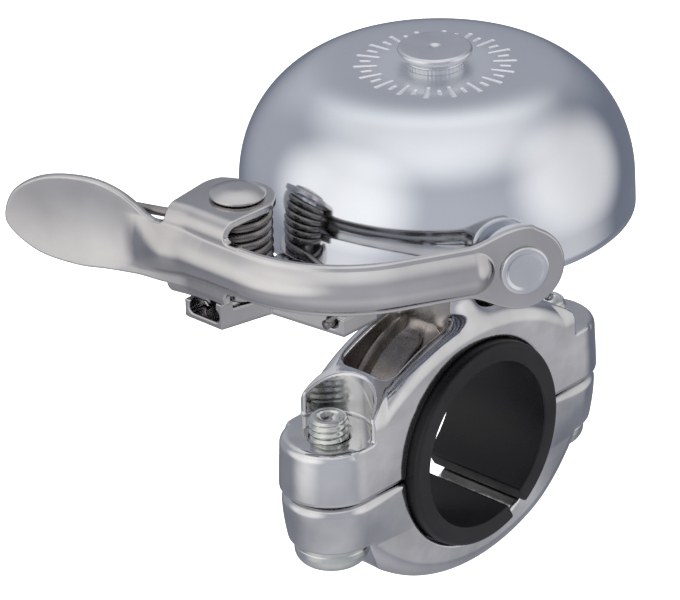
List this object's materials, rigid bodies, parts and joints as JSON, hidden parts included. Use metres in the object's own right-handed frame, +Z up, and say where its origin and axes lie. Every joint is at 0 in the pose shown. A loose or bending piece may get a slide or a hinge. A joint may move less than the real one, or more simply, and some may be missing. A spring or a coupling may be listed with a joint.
{
  "type": "bicycle bell",
  "caption": "Domed bicycle bell with a thumb lever and outside striker on a sprung pivot, held by a two-piece clamp with a rubber sleeve for a round handlebar.",
  "frame": {"origin": "on the axis of the handlebar bore, halfway along the clamp", "axes": "+X along the handlebar, +Z up along the axis of the gong, the lever on the -Y side"},
  "size_m": [0.0698, 0.0825, 0.0821],
  "materials": {
    "gong_metal": "satin polished, fine turned lines",
    "turned_metal": "turned, bright",
    "stamped_steel": "stainless sheet, barrel polished",
    "spring_steel": "dark drawn wire",
    "cast_aluminium": "die cast, polished",
    "black_rubber": "moulded, matt",
    "black_plastic": "moulded, matt",
    "zinc_steel": "zinc plated"
  },
  "bodies": {
    "frame": {"bell_dome": "gong_metal", "dome_nut": "turned_metal", "dome_post": "turned_metal", "dome_seat": "black_plastic", "post_washer": "zinc_steel", "bracket": "stamped_steel", "pivot_pin": "stamped_steel", "pivot_spacer": "turned_metal", "pivot_bush": "turned_metal", "spring_washer": "spring_steel", "torsion_spring": "spring_steel", "upper_clamp": "cast_aluminium", "bar_sleeve": "black_rubber"},
    "striker_arm": {"lever": "stamped_steel", "striker": "turned_metal", "striker_rivet": "turned_metal"},
    "lower_half": {"lower_clamp": "cast_aluminium", "clamp_bolt_left": "zinc_steel", "clamp_bolt_right": "zinc_steel", "bolt_washer_left": "zinc_steel", "bolt_washer_right": "zinc_steel"}
  },
  "joints": [
    {"name": "lever_pivot", "type": "hinge", "parent": "frame", "child": "striker_arm", "pos_m": [-0.0056, -0.0352, 0.042], "axis": [0, 0, -1], "range_deg": [-1.8, 25], "stiffness_Nm_per_rad": 0.15, "deforming": ["torsion_spring"]},
    {"name": "clamp_opening", "type": "slide", "parent": "frame", "child": "lower_half", "axis": [0, 0, -1], "range_m": [0, 0.003]}
  ]
}
